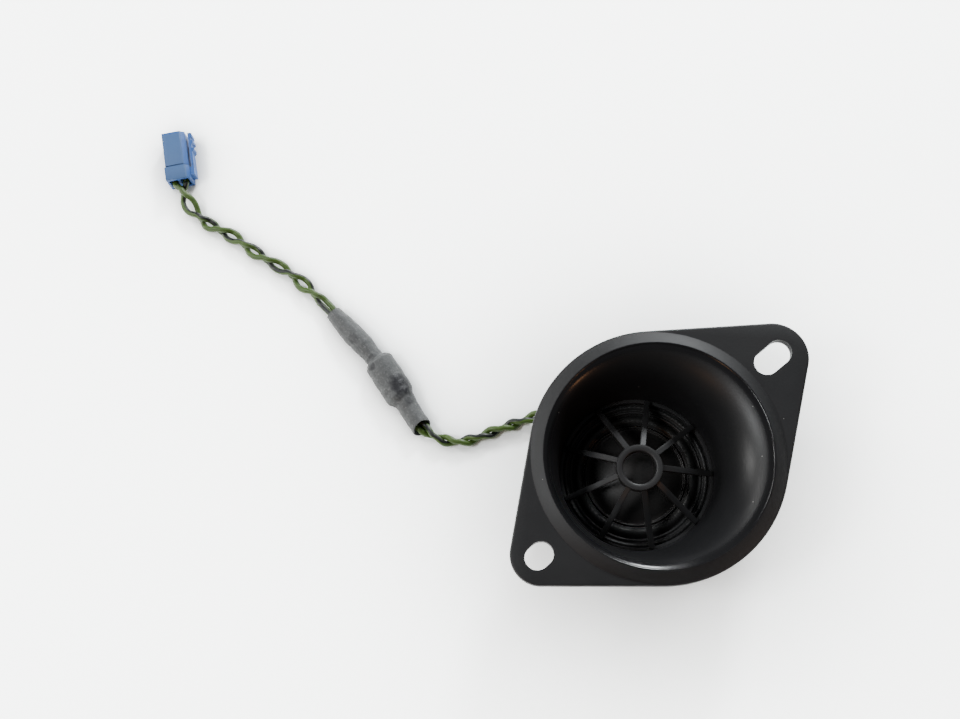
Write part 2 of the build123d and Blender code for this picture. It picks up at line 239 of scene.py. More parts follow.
def centreline(route):
    """Points read from the route's own smooth curve, and the way covered to each."""
    data = bpy.data.curves.new("line", "CURVE")
    data.dimensions = "3D"
    spline = data.splines.new("NURBS")
    spline.points.add(len(route) - 1)
    for point, place in zip(spline.points, route):
        point.co = (*place, 1)
    spline.order_u = 3
    spline.use_endpoint_u = True
    spline.resolution_u = 24
    holder = bpy.data.objects.new("line", data)
    bpy.context.scene.collection.objects.link(holder)
    read = bpy.data.meshes.new_from_object(holder)
    points = [v.co.copy() for v in read.vertices]
    bpy.data.objects.remove(holder)
    way = [0.0]
    for a, b in zip(points, points[1:]):
        way.append(way[-1] + (b - a).length)
    return points, way


def along_knots(knots, s):
    """A value that goes smoothly from knot to knot: (way, value) pairs."""
    for (s0, v0), (s1, v1) in zip(knots, knots[1:]):
        if s <= s1:
            t = max(0.0, (s - s0) / (s1 - s0))
            return v0 + (v1 - v0) * t * t * (3 - 2 * t)
    return knots[-1][1]


def twisted_pair(name, route, turn, spread, lean=lambda s: 0.0, sides=14):
    """Two strands round the route's line: turn(s) in degrees, spread(s) half the pair's width.

    lean(s) shifts the pair towards +Y.
    """
    points, way = centreline(route)
    mesh = bmesh.new()
    sheet = mesh.loops.layers.uv.new("UVMap")
    for strand in (0, 1):
        rings, middles = [], []
        for i, (p, s) in enumerate(zip(points, way)):
            ahead = (points[min(i + 1, len(points) - 1)] - points[max(i - 1, 0)]).normalized()
            across = Vector((-ahead.y, ahead.x, 0)).normalized()
            rise = across.cross(ahead) * -1
            a = radians(turn(s)) + pi * strand
            middle = p + across * (spread(s) * cos(a))
            middle += rise * (WIRE * STRAND_RISE * sin(a))
            middles.append(middle + Vector((0, lean(s), 0)))
        for i, m in enumerate(middles):
            ahead = (middles[min(i + 1, len(middles) - 1)] - middles[max(i - 1, 0)]).normalized()
            across = Vector((-ahead.y, ahead.x, 0)).normalized()
            rise = ahead.cross(across)
            ring = []
            for k in range(sides):
                b = 2 * pi * k / sides
                ring.append(mesh.verts.new(m + (across * cos(b) + rise * sin(b)) * WIRE))
            rings.append(ring)
        for i, (low, high) in enumerate(zip(rings, rings[1:])):
            for k in range(sides):
                j = (k + 1) % sides
                face = mesh.faces.new((low[k], low[j], high[j], high[k]))
                face.material_index = strand
                face.smooth = True
                spots = ((k, way[i]), (k + 1, way[i]), (k + 1, way[i + 1]), (k, way[i + 1]))
                for loop, (u, v) in zip(face.loops, spots):
                    loop[sheet].uv = (u / sides, v * 100)
        for ring, flip in ((rings[0], True), (rings[-1], False)):
            face = mesh.faces.new(list(reversed(ring)) if flip else ring)
            face.material_index = strand
    data = bpy.data.meshes.new(name)
    mesh.normal_update()
    mesh.to_mesh(data)
    mesh.free()
    pair = bpy.data.objects.new(name, data)
    bpy.context.scene.collection.objects.link(pair)
    data.materials.append(wire_plain.material)
    data.materials.append(wire_striped.material)
    return pair, points, way[-1]


STRIPE_AT, STRIPE_IN, STRIPE_OUT = 0.32, 0.10, 0.14


def wire_finish(name, stripe):
    """Soft green PVC with handling marks, and a black stripe along it if asked."""
    f = Finish(name, Specular_IOR_Level=0.30)
    tone = f.grain(4 * MM, 3.0)
    scuff = f.grain(0.35 * MM, 4.0, rough=0.7).above(0.60, 0.72)
    green = f.blend(tone, (0.022, 0.046, 0.005), (0.042, 0.078, 0.010))
    dirt = f.grain(1.6 * MM, 4.0).above(0.56, 0.75)
    green = f.blend(dirt * 0.50, green, (0.010, 0.017, 0.005))
    if stripe:
        u, v = f.parts(f.node("UVMap", {"uv_map": "UVMap"}))[:2]
        drift = (v * 3.7).math("SINE") * 0.10 + (f.grain(2 * MM, 2.0) - 0.5) * 0.08
        off_line = (u + drift - STRIPE_AT).math("ABSOLUTE")
        stripe_share = 1 - off_line.above(STRIPE_IN, STRIPE_OUT)
        green = f.blend(stripe_share, green, (0.003, 0.0045, 0.003))
    f.feed("Base Color", f.blend(scuff * 0.25, green, (0.085, 0.105, 0.055)))
    f.feed("Roughness", 0.42 + scuff * 0.20 + tone * 0.08)
    f.bump(f.grain(0.5 * MM, 3.0), 0.02 * MM)
    return f


wire_plain = wire_finish("wire_green_plain", False)
wire_striped = wire_finish("wire_green_striped", True)

# Way along the lead in millimetres, with the twist there in degrees or half the pair's width.
near_knots = [
    (0, 90), (5.6, 260), (10.4, 442), (15.6, 618), (20.3, 802), (25.6, 985), (30.2, 1160),
    (35.5, 1345), (39.0, 1440), (44.0, 1475),
]
near_wide = [(0, 0.65), (22, 0.68), (30, 0.66), (37, 0.78), (44, 0.72)]
lead_near, near_line, near_length = twisted_pair(
    "lead_near_pair", near_route,
    lambda s: along_knots(near_knots, s / MM),
    lambda s: along_knots(near_wide, s / MM) * MM,
)
# The far stretch is read back from the plug, where its strands part in an open loop.
far_total = centreline(far_route)[1][-1] / MM
plug_turns = [
    (0, 0), (2.0, 90), (6.2, 180), (10.2, 270), (13.0, 365), (15.8, 450), (19.2, 545),
    (22.4, 630), (25.8, 725), (29.0, 812), (32.6, 905), (36.0, 992), (39.6, 1085),
    (43.0, 1172), (46.6, 1262), (60.0, 1500),
]
plug_wide = [
    (0, 1.25), (2.0, 0.80), (6.2, 1.25), (10.2, 0.78), (13.0, 0.95), (15.8, 0.75),
    (19.2, 1.05), (22.4, 0.72), (25.8, 0.95), (29.0, 0.72), (32.6, 0.92), (36.0, 0.72),
    (39.6, 1.12), (43.0, 0.85), (47.0, 0.70), (60.0, 0.66),
]
plug_lean = [(0, 0), (1.0, 0.0), (5.5, 0.62), (8.0, 0.55), (13.0, 0.0), (60.0, 0.0)]
lead_far, far_line, far_length = twisted_pair(
    "lead_far_pair", far_route,
    lambda s: along_knots(plug_turns, far_total - s / MM),
    lambda s: along_knots(plug_wide, far_total - s / MM) * MM,
    lambda s: along_knots(plug_lean, far_total - s / MM) * MM,
)
for pair, node in ((lead_near, "lead_near"), (lead_far, "lead_far")):
    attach(pair, "housing")
    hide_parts(node)


# ---------------------------------------------------------------- wires in the clip
# The same two wires where the clip grips them, one over the other, and the tails that part
# behind it to the two solder tags.

# The driver's axis, a little off the flange's middle, in millimetres.
DRIVER = (-0.8, -4.2)
CLIP_AT, CLIP_LONG, SIDE_ANGLE = (20.6, 1.5, 4.6), 2.24, 158
driver_place = Matrix.Translation((DRIVER[0] * MM, DRIVER[1] * MM, 0))
side_turn = driver_place @ Matrix.Rotation(radians(SIDE_ANGLE), 4, "Z")


def take(piece):
    """Select this piece alone."""
    bpy.ops.object.select_all(action="DESELECT")
    bpy.context.view_layer.objects.active = piece
    piece.select_set(True)


def settle(piece, matrix=None):
    """Put a piece's place into its mesh and leave its object at the origin."""
    take(piece)
    if matrix is not None:
        piece.matrix_world = matrix @ piece.matrix_world
    bpy.ops.object.transform_apply(location=True, rotation=True, scale=True)
    return piece


def join(pieces, name):
    """Several meshes as one piece."""
    bpy.ops.object.select_all(action="DESELECT")
    for piece in pieces:
        piece.select_set(True)
    bpy.context.view_layer.objects.active = pieces[0]
    bpy.ops.object.join()
    pieces[0].name = name
    pieces[0].data.name = name
    return pieces[0]


def smooth(piece, degrees=32):
    """Round shading across every edge that turns less than this."""
    take(piece)
    bpy.ops.object.shade_smooth_by_angle(angle=radians(degrees))
    return piece


def dress(node, finish):
    """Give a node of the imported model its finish."""
    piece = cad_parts[node]
    piece.data.materials.clear()
    piece.data.materials.append(finish.material)


gripped = []
for up in (1, -1):
    x, y, z = (v * MM for v in CLIP_AT)
    bpy.ops.mesh.primitive_cylinder_add(
        vertices=20, radius=WIRE, depth=CLIP_LONG * MM,
        location=(x, y, z + up * WIRE), rotation=(radians(90), 0, 0),
    )
    wire = bpy.context.object
    wire.data.materials.append((wire_striped if up < 0 else wire_plain).material)
    gripped.append(settle(wire, side_turn))
clip_wires = smooth(join(gripped, "clip_wires"))
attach(clip_wires, "housing")
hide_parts("lead_in_clip")

dress("lead_tails", wire_plain)


# ---------------------------------------------------------------- heat-shrink tube
# Grey polyolefin tube shrunk over the capacitor and its two splices. It bulges over the
# capacitor, is creased where it necks down, and is scuffed and smudged. Its near mouth is open.

SHRINK_WALL = 0.28
SHRINK_RINGS, SHRINK_SIDES = 150, 56
# Creased necks at the bulge's two ends: place along the tube, and reach.
NECKS = ((-57.3, 2.6), (-45.8, 2.2))
MOUTH_FLARE, MOUTH_SLANT = 0.35, 0.85
# Place along the tube, its middle there, its width and its height, in millimetres.
shrink_stations = [
    (-38.15, -30.84, 4.5, 4.3), (-40.0, -30.68, 4.4, 4.2), (-43.2, -30.30, 4.5, 4.15),
    (-45.4, -29.90, 4.8, 4.35), (-46.3, -29.90, 5.7, 4.75), (-47.1, -29.95, 6.65, 4.88),
    (-49.2, -29.70, 6.8, 4.90), (-51.6, -29.40, 6.7, 4.88), (-54.0, -29.15, 6.7, 4.90),
    (-55.8, -29.00, 6.6, 4.80), (-56.5, -28.98, 5.6, 4.35), (-57.1, -29.00, 4.15, 3.95),
    (-58.8, -29.02, 4.15, 4.00), (-61.4, -29.10, 4.75, 4.15), (-64.6, -29.28, 4.85, 4.05),
    (-68.0, -29.42, 4.35, 3.80), (-70.4, -29.50, 3.75, 3.5), (-71.65, -29.54, 3.42, 3.3),
]


def station_at(x):
    """The tube's middle, width and height at a place along it, smooth between stations."""
    for a, b in zip(shrink_stations, shrink_stations[1:]):
        if x >= b[0]:
            t = min(1.0, max(0.0, (a[0] - x) / (a[0] - b[0])))
            t = 0.5 * t + 0.5 * t * t * (3 - 2 * t)
            return [p + (q - p) * t for p, q in zip(a[1:], b[1:])]
    return list(shrink_stations[-1][1:])


def apply(piece, kind, **settings):
    """Add a modifier with these settings and apply it."""
    change = piece.modifiers.new(kind.lower(), kind)
    for key, value in settings.items():
        setattr(change, key, value)
    bpy.context.view_layer.objects.active = piece
    bpy.ops.object.modifier_apply(modifier=change.name)
    return piece


bpy.ops.mesh.primitive_cylinder_add(
    vertices=SHRINK_SIDES, radius=1, depth=1, end_fill_type="NOTHING", rotation=(0, radians(90), 0)
)
shrink = bpy.context.object
settle(shrink)
bpy.ops.object.mode_set(mode="EDIT")
mesh = bmesh.from_edit_mesh(shrink.data)
for edge in mesh.edges:
    edge.select = abs(edge.verts[0].co.x - edge.verts[1].co.x) > 0.5
bmesh.update_edit_mesh(shrink.data)
bpy.ops.mesh.subdivide_edgering(number_cuts=SHRINK_RINGS, interpolation="LINEAR")
bpy.ops.object.mode_set(mode="OBJECT")
near_x, far_x = shrink_stations[0][0], shrink_stations[-1][0]
for v in shrink.data.vertices:
    share = v.co.x + 0.5
    x = far_x + (near_x - far_x) * share
    mid, width, height = station_at(x)
    a = atan2(v.co.z, v.co.y)
    fold = noise.noise(Vector((x * 0.55, cos(a) * 1.1, sin(a) * 1.1 + 7)))
    crease = noise.noise(Vector((x * 1.6, cos(a) * 0.8 + 3, sin(a) * 0.8)))
    neck = sum(max(0.0, 1 - abs(x - at) / reach) for at, reach in NECKS)
    pull = 1 + 0.035 * fold + 0.030 * crease * (0.5 + neck)
    pull += 0.02 * neck * sin(a * 5 + x)
    y = mid + 0.5 * width * cos(a) * pull
    z = 0.5 * height * (1 + sin(a) * min(pull, 1.0 if sin(a) < 0 else 1.03))
    squared = 1.0 - 0.06 * (abs(sin(2 * a)))
    slant = MOUTH_SLANT * share ** 8 * sin(a)
    x -= slant + MOUTH_FLARE * share ** 8
    v.co = [c * MM for c in (x, mid + (y - mid) * squared, max(z, 0.02))]
bpy.ops.object.mode_set(mode="EDIT")
bpy.ops.mesh.select_all(action="SELECT")
bpy.ops.mesh.normals_make_consistent(inside=False)
bpy.ops.object.mode_set(mode="OBJECT")
apply(shrink, "SOLIDIFY", thickness=SHRINK_WALL * MM, offset=-1)
shrink.name = shrink.data.name = "heat_shrink_tube"
smooth(shrink, 50)

grey = Finish("shrink_grey", Specular_IOR_Level=0.24)
gx, gy = grey.parts(grey.place())[:2]
cloud = grey.grain(3.2 * MM, 4.0)
fine = grey.grain(0.5 * MM, 5.0, rough=0.65)
tone = grey.blend(cloud, (0.030, 0.031, 0.032), (0.062, 0.064, 0.064))
tone = grey.blend(fine.above(0.48, 0.70) * 0.55, tone, (0.115, 0.117, 0.115))
ragged = (grey.grain(1.5 * MM, 4.0) - 0.5) * 2.2 * MM


def smudge(x, y, long, wide):
    """A soft-edged dirty patch centred on the tube at a place in millimetres."""
    across = ((gx - x * MM) / (long * MM)) ** 2 + ((gy - y * MM) / (wide * MM)) ** 2
    return 1 - (across.math("SQRT") + ragged / (2 * MM)).above(0.65, 1.15)


dark = smudge(-48.4, -28.2, 2.9, 2.7)
for x, y, long, wide, share in (
    (-55.6, -30.9, 1.1, 0.9, 0.85), (-44.6, -29.4, 1.0, 0.8, 0.50),
    # The last entry darkens a narrow band across the crease of the neck at -57.3 mm.
    (-63.2, -30.0, 1.4, 1.0, 0.40), (-57.3, -29.6, 0.7, 1.6, 0.50),
):
    dark = dark.math("MAXIMUM", smudge(x, y, long, wide) * share)
tone = grey.blend(dark * 0.92, tone, (0.007, 0.007, 0.009))
rub = grey.grain(1.1 * MM, 5.0, rough=0.7).above(0.60, 0.74)
grey.feed("Base Color", grey.blend(rub * 0.30, tone, (0.15, 0.155, 0.15)))
grey.feed("Roughness", 0.52 + cloud * 0.14 - dark * 0.10)
grey.bump(fine * 0.6 + grey.grain(1.8 * MM, 3.0), 0.10 * MM)
shrink.data.materials.append(grey.material)
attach(shrink, "housing")
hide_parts("heat_shrink")


# ---------------------------------------------------------------- capacitor and splices
# Small aluminium can in a shrunk film jacket with a rubber seal, its two tinned leads, and the
# crimped splices that join it to the lead. They stay inside the tube.

def metal(name, base, shade, rough, scratch=1.0):
    """Plated or bare metal with fine rubbing and a little tarnish."""
    f = Finish(name, Metallic=1.0)
    cloud = f.grain(2.5 * MM, 4.0)
    lines = f.node("Mapping", {}, {"Vector": f.place(), "Scale": (1, 1, 12)})
    rub = f.grain(0.6 * MM, 4.0, lines)
    f.feed("Base Color", f.blend(cloud * 0.7 + rub * 0.3, base, shade))
    f.feed("Roughness", rough + rub * 0.16 + cloud.above(0.5, 0.8) * 0.12)
    f.bump(rub, 0.008 * MM * scratch)
    return f


aluminium = metal("can_aluminium", (0.80, 0.81, 0.82), (0.66, 0.67, 0.68), 0.28)
tinned = metal("tinned_brass", (0.42, 0.41, 0.37), (0.26, 0.25, 0.21), 0.30)
film = Finish("jacket_film", Roughness=0.3)
film_tone = film.grain(2 * MM, 3.0)
film.feed("Base Color", film.blend(film_tone, (0.030, 0.045, 0.16), (0.055, 0.080, 0.24)))
film.bump(film_tone, 0.03 * MM)
seal = Finish("seal_rubber")
seal_tone = seal.grain(0.8 * MM, 4.0)
seal.feed("Base Color", seal.blend(seal_tone, [0.020] * 3, [0.055] * 3))
seal.feed("Roughness", 0.65 + seal_tone * 0.2)
dress("capacitor_can", aluminium)
dress("capacitor_jacket", film)
dress("capacitor_seal", seal)
dress("capacitor_leads", tinned)
dress("splice_crimps", tinned)


# ---------------------------------------------------------------- plug
# Two-way receptacle housing moulded in blue nylon: a proud rear collar, a wide chamfer beside
# the latch, two contact windows over two small test windows, and cavities open at the back.

PLUG_AT, PLUG_ANGLE = (-0.119, -0.03735, 0), radians(150.8)
plug_turn = Matrix.Translation(PLUG_AT) @ Matrix.Rotation(PLUG_ANGLE, 4, "Z")


def block(x0, x1, y0, y1, z0, z1):
    """A box between two corners, in millimetres."""
    spans = ((x0, x1), (y0, y1), (z0, z1))
    bpy.ops.mesh.primitive_cube_add(size=1, location=[(a + b) / 2 * MM for a, b in spans])
    piece = bpy.context.object
    piece.scale = [(b - a) * MM for a, b in spans]
    return settle(piece)


def bevel_where(piece, test, width, segments=2):
    """Bevel the edges whose middle and direction pass the test, in millimetres."""
    take(piece)
    bpy.ops.object.mode_set(mode="EDIT")
    bpy.ops.mesh.select_mode(type="EDGE")
    bpy.ops.mesh.select_all(action="DESELECT")
    mesh = bmesh.from_edit_mesh(piece.data)
    for edge in mesh.edges:
        a, b = (v.co / MM for v in edge.verts)
        edge.select = test((a + b) / 2, (b - a).normalized())
    bmesh.update_edit_mesh(piece.data)
    bpy.ops.mesh.bevel(offset=width * MM, segments=segments, affect="EDGES", clamp_overlap=True)
    bpy.ops.mesh.select_mode(type="VERT")
    bpy.ops.object.mode_set(mode="OBJECT")
    return piece


def combine(piece, tool, how="DIFFERENCE"):
    """Cut a tool out of a piece, or weld it on, and remove the tool."""
    apply(piece, "BOOLEAN", object=tool, operation=how, solver="EXACT")
    bpy.data.objects.remove(tool)
    return piece


PLUG_LONG, PLUG_HALF, PLUG_LOW, PLUG_HIGH = 12.0, 2.6, 0.15, 4.85
COLLAR_LONG, COLLAR_PROUD, COLLAR_HIGH = 3.3, 0.15, 5.0
PITCH = 2.5
# Cuts round each contact: from and to along the plug, half width, from and to in height.
CAVITY = (-1, 11.1, 0.95, 0.85, 4.15)
CONTACT_WINDOW = (10, 13, 0.78, 2.72, 3.92)
TEST_WINDOW = (10, 13, 0.42, 1.15, 2.05)
FRONT_RECESS = (11.65, 13, 0.95, 0.95, 4.12)

body = block(0.2, PLUG_LONG, -PLUG_HALF, PLUG_HALF, PLUG_LOW, PLUG_HIGH)
bevel_where(body, lambda m, d: abs(d.x) > 0.9 and m.y < 0 and m.z > 3, 1.05, 1)
bevel_where(body, lambda m, d: abs(d.x) < 0.1 and m.x > 11, 0.16, 2)
bevel_where(body, lambda m, d: abs(d.x) > 0.9 and m.y > 0, 0.22, 3)
collar_half = PLUG_HALF + COLLAR_PROUD
collar = block(0, COLLAR_LONG, -collar_half, collar_half, 0, COLLAR_HIGH)
bevel_where(collar, lambda m, d: abs(d.x) > 0.9 and m.y < 0 and m.z > 3, 0.95, 1)
bevel_where(collar, lambda m, d: abs(d.x) < 0.1, 0.10, 2)
body = combine(body, collar, "UNION")
latch_root = block(0.9, 2.9, -3.75, -2.4, 0.9, 3.9)
body = combine(body, latch_root, "UNION")
for y in (-PITCH / 2, PITCH / 2):
    for x0, x1, half, z0, z1 in (CAVITY, CONTACT_WINDOW, TEST_WINDOW, FRONT_RECESS):
        body = combine(body, block(x0, x1, y - half, y + half, z0, z1))
lock_slot = block(4.8, 8.2, PLUG_HALF - 0.55, PLUG_HALF + 1, 1.3, 3.7)
body = combine(body, lock_slot)
collar_groove = block(COLLAR_LONG, 3.62, -1.7, 2.9, 4.72, 5.2)
body = combine(body, collar_groove)
body.name = body.data.name = "plug_body"
settle(body, plug_turn)
smooth(body, 30)

blue = Finish("plug_blue", Specular_IOR_Level=0.30)
plug_axes = {"Vector": blue.place(), "Location": PLUG_AT, "Rotation": (0, 0, PLUG_ANGLE)}
bx, _, bz = blue.parts(blue.node("Mapping", {"vector_type": "TEXTURE"}, plug_axes))
haze = blue.grain(2.2 * MM, 4.0)
speck = blue.grain(0.22 * MM, 3.0, rough=0.7)
shade = blue.blend(haze, (0.015, 0.062, 0.215), (0.026, 0.084, 0.265))
front = bx.above(11.3 * MM, 11.9 * MM)
worn = blue.grain(1.2 * MM, 5.0, rough=0.7).above(0.54, 0.72)
shade = blue.blend(worn * (0.12 + 0.16 * (1 - front)), shade, (0.075, 0.125, 0.20))
dust = bz.above(4.5 * MM, 4.8 * MM) * (1 - front)
shade = blue.blend(dust * 0.60, shade, (0.040, 0.078, 0.140))
# A darker line round the plug just past the collar's step, across its groove.
dark_line_by_collar = 1 - (bx - 3.55 * MM).math("ABSOLUTE").above(0.05 * MM, 0.22 * MM)
shade = blue.blend(dark_line_by_collar * 0.55, shade, (0.010, 0.022, 0.055))
blue.feed("Base Color", shade)
blue.feed("Roughness", 0.42 + haze * 0.10 + worn * 0.12 + dust * 0.08)
blue.bump(speck * 0.5 + haze * 0.5, 0.03 * MM)
body.data.materials.append(blue.material)
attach(body, "housing")
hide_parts("plug_housing")


# ---------------------------------------------------------------- plug latch
# A springy lever along the plug's side with a raised tip and two catch teeth. It is moulded in
# one with the plug and bends at its root.

LATCH_TEETH, TOOTH_LONG = (6.6, 8.6), 1.1
lever = block(3.0, 11.6, -3.75, -3.15, 1.1, 3.7)
tip = block(10.5, 11.55, -4.08, -3.6, 1.1, 3.7)
bevel_where(tip, lambda m, d: abs(d.z) > 0.9 and m.y < -3.9, 0.28, 3)
lever = combine(lever, tip, "UNION")
for place in LATCH_TEETH:
    tooth = block(place, place + TOOTH_LONG, -4.22, -3.6, 1.12, 3.68)
    bevel_where(tooth, lambda m, d: abs(d.z) > 0.9 and m.y < -4 and m.x < place + 0.5, 0.55, 1)
    lever = combine(lever, tooth, "UNION")
bevel_where(lever, lambda m, d: abs(d.x) > 0.9 and m.z > 3.5, 0.10, 2)
lever.name = lever.data.name = "plug_latch_lever"
settle(lever, plug_turn)
smooth(lever, 30)
lever.data.materials.append(blue.material)
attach(lever, "latch")
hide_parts("plug_latch")


# ---------------------------------------------------------------- plug lock
# A small slide of the same blue nylon in the plug's other side. It is pushed home over the
# contacts and holds both in, and three ribs give a fingernail its grip.

GRIP_RIBS, RIB_LONG = (5.3, 5.85, 6.4), 0.25
slide = block(4.9, 7.0, 2.15, 2.55, 1.4, 3.6)
bevel_where(slide, lambda m, d: m.y > 2.5, 0.08, 2)
for place in GRIP_RIBS:
    grip = block(place, place + RIB_LONG, 2.45, 2.8, 1.6, 3.4)
    bevel_where(grip, lambda m, d: m.y > 2.75, 0.06, 2)
    slide = combine(slide, grip, "UNION")
slide.name = slide.data.name = "plug_lock_slide"
settle(slide, plug_turn)
smooth(slide, 30)
slide.data.materials.append(blue.material)
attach(slide, "lock")
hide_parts("plug_lock")


# ---------------------------------------------------------------- plug contacts
# Two box terminals stamped from brass with a tin flash. Each is crimped on a wire's end and
# pushed into its cavity.

contact_brass = metal("contact_brass", (0.72, 0.60, 0.36), (0.55, 0.42, 0.22), 0.25)
dress("contact_plus", contact_brass)
dress("contact_minus", contact_brass)
dress("wire_ends", wire_plain)


# ---------------------------------------------------------------- housing
# Flange, lip, bowl and skirt moulded in one in fine-grained black plastic. The bowl flares from
# the off-centre throat to a crisp edge with a sloped band round it. The flange has a slot and a
# shorter hole.

MOUTH = (0.0, -0.8)
LIP_TOP, THROAT_Z = 26.12, 12.0
MOUTH_R, THROAT_R = 21.75, 15.5
BOWL_WALL, BOWL_STEPS, BACK_STEPS = 1.4, 30, 14
# The wall's section runs over these degrees of an ellipse, from the mouth to the throat.
WALL_ARC = (6, 78)
SKIRT_R, SKIRT_FOOT = 17.0, 2.0
FLANGE_LOW, FLANGE_TOP = 23.0, 25.0
# The three discs (x, y, radius) that the flange's outline is drawn round.
FLANGE_ROUNDS = [(0, -0.8, 24.9), (0, 29.4, 6.9), (0, -30.4, 5.9)]
# Place along the flange, length and width of the slot and of the shorter hole.
HOLES = [(29.2, 8.3, 4.9), (-30.8, 5.8, 4.8)]


def ring_stack(name, rings, sides=96, close=False, poles=()):
    """Rings (x, y, z, radius) in millimetres, each extruded from the last."""
    x, y, z, r = (v * MM for v in rings[0])
    bpy.ops.mesh.primitive_circle_add(vertices=sides, radius=r, location=(x, y, z))
    piece = bpy.context.object
    bpy.ops.object.mode_set(mode="EDIT")
    bpy.ops.mesh.select_all(action="SELECT")
    last = (x, y, z, r)
    for ring in rings[1:]:
        x, y, z, r = (v * MM for v in ring)
        shift = (x - last[0], y - last[1], z - last[2])
        bpy.ops.mesh.extrude_region_move(TRANSFORM_OT_translate={"value": shift})
        k = r / last[3]
        bpy.ops.transform.resize(value=(k, k, 1), center_override=(x, y, z))
        last = (x, y, z, r)
    if close:
        bpy.ops.mesh.select_all(action="SELECT")
        bpy.ops.mesh.remove_doubles(threshold=0.002 * MM)
    for end in poles:
        mesh = bmesh.from_edit_mesh(piece.data)
        want = rings[end][2] * MM - piece.location.z
        small = rings[end][3] * MM * 1.01
        for v in mesh.verts:
            v.select = abs(v.co.z - want) < 0.004 * MM and hypot(v.co.x, v.co.y) < small
        mesh.select_flush_mode()
        bmesh.update_edit_mesh(piece.data)
        bpy.ops.mesh.merge(type="CENTER")
    bpy.ops.mesh.select_all(action="SELECT")
    bpy.ops.mesh.normals_make_consistent(inside=False)
    bpy.ops.object.mode_set(mode="OBJECT")
    settle(piece)
    piece.name = piece.data.name = name
    return piece


def bowl_ring(step, grow=0.0, drop=0.0):
    """A ring of the bowl, from the mouth (0) to the throat (1)."""
    a0, a1 = (radians(v) for v in WALL_ARC)
    a = a0 + (a1 - a0) * step
    inward = (sin(a) - sin(a0)) / (sin(a1) - sin(a0))
    down = (cos(a0) - cos(a)) / (cos(a0) - cos(a1))
    x = MOUTH[0] + (DRIVER[0] - MOUTH[0]) * inward
    y = MOUTH[1] + (DRIVER[1] - MOUTH[1]) * inward
    radius = MOUTH_R + (THROAT_R - MOUTH_R) * inward
    return (x, y, LIP_TOP + (THROAT_Z - LIP_TOP) * down - drop, radius + grow)


inside = [bowl_ring(i / BOWL_STEPS) for i in range(BOWL_STEPS, -1, -1)]
outside = [
    bowl_ring(i / BACK_STEPS, BOWL_WALL, BOWL_WALL * i / BACK_STEPS) for i in range(5, BACK_STEPS)
]
lip = [
    (26.22, 21.86), (26.28, 21.97), (26.30, 22.10), (26.27, 22.24), (25.10, 24.36), (25.02, 24.52),
    (24.70, 24.60), (23.9, 22.6),
]
skirt = [
    (10.4, SKIRT_R), (6.0, SKIRT_R), (2.15, SKIRT_R), (SKIRT_FOOT, 16.85), (SKIRT_FOOT, THROAT_R),
]
profile = [(*DRIVER, z, THROAT_R) for z in (SKIRT_FOOT, 7.0, 11.4)]
profile += inside + [(*MOUTH, z, r) for z, r in lip]
profile += outside + [(*DRIVER, z, r) for z, r in skirt]
bowl = ring_stack("bowl", profile, sides=160, close=True)


def rounded_plate(rounds, low, high, sides):
    """The plate that a belt round several discs (x, y, radius) would enclose, in millimetres."""
    discs = []
    for x, y, r in rounds:
        middle = (x * MM, y * MM, (low + high) / 2 * MM)
        bpy.ops.mesh.primitive_cylinder_add(
            vertices=sides, radius=r * MM, depth=(high - low) * MM, location=middle
        )
        discs.append(settle(bpy.context.object))
    plate = join(discs, "plate")
    bpy.ops.object.mode_set(mode="EDIT")
    bpy.ops.mesh.select_all(action="SELECT")
    bpy.ops.mesh.convex_hull()
    bpy.ops.mesh.select_all(action="SELECT")
    bpy.ops.mesh.dissolve_limited(angle_limit=radians(0.3))
    bpy.ops.mesh.select_all(action="SELECT")
    bpy.ops.mesh.normals_make_consistent(inside=False)
    bpy.ops.object.mode_set(mode="OBJECT")
    return plate


def round_tool(middle, radius, height, sides):
    """A round cutting tool at (x, y, z), in millimetres."""
    place = [v * MM for v in middle]
    bpy.ops.mesh.primitive_cylinder_add(
        vertices=sides, radius=radius * MM, depth=height * MM, location=place
    )
    return settle(bpy.context.object)


flange = rounded_plate(FLANGE_ROUNDS, FLANGE_LOW, FLANGE_TOP, 120)
bevel_where(flange, lambda m, d: abs(d.z) < 0.1 and m.z > FLANGE_TOP - 0.01, 0.38, 4)
bevel_where(flange, lambda m, d: abs(d.z) < 0.1 and m.z < FLANGE_LOW + 0.01, 0.12, 2)
for y, length, width in HOLES:
    half = (length - width) / 2
    tool = rounded_plate([(0, y - half, width / 2), (0, y + half, width / 2)], 20, 28, 48)
    flange = combine(flange, tool)
flange = combine(flange, round_tool((*MOUTH, 24), 21.6, 8, 120))
housing = combine(flange, bowl, "UNION")
# The flat seat for the terminal board on the skirt's side, hollowed to the skirt.
pad = block(15.9, 18.2, -8.8, 3.0, 3.0, 9.6)
settle(pad, side_turn)
apply(pad, "BEVEL", width=0.2 * MM, segments=2)
pad = combine(pad, round_tool((*DRIVER, 6), 16.2, 20, 96))
housing = combine(housing, pad, "UNION")
housing.name = housing.data.name = "housing_shell"
smooth(housing, 24)


